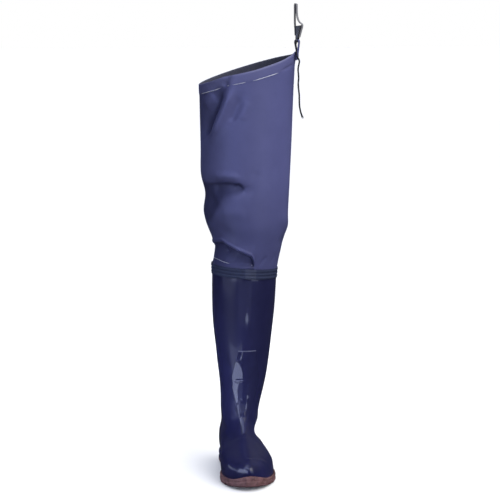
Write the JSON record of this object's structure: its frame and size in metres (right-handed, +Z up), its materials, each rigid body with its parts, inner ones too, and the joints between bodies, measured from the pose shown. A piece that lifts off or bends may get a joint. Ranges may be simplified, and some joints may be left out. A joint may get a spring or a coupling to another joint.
{
  "type": "hip wader with moulded boot",
  "caption": "Thigh-high wader leg: glossy moulded boot with cup sole and shin panel, ribbed knee tape, coated-fabric thigh tube with folded hem, hip strap, buckle and cord",
  "frame": {"origin": "on the floor under the ankle, on the front lug of the heel", "axes": "+X to the outer side of the left leg, -Y to the toe, +Z up along the leg"},
  "size_m": [0.2062, 0.3106, 0.9383],
  "materials": {
    "sole_rubber": "matt red-brown",
    "footbed_cloth": "matt felt",
    "boot_rubber": "glossy navy",
    "panel_rubber": "glossy navy",
    "tape_cloth": "ribbed slate",
    "leg_cloth": "satin coated blue-violet",
    "tab_cloth": "satin coated blue-violet",
    "buckle_plastic": "black moulded",
    "webbing_cloth": "woven grey",
    "knot_cloth": "braided black",
    "cord_cloth": "braided black"
  },
  "bodies": {
    "root": {"outsole": "sole_rubber", "insole": "footbed_cloth", "boot_upper": "boot_rubber", "shin_panel": "panel_rubber", "knee_tape": "tape_cloth", "thigh_leg": "leg_cloth", "hip_tab": "tab_cloth", "hip_buckle": "buckle_plastic", "belt_webbing": "webbing_cloth", "cord_knot": "knot_cloth", "hip_cord": "cord_cloth"}
  },
  "joints": []
}
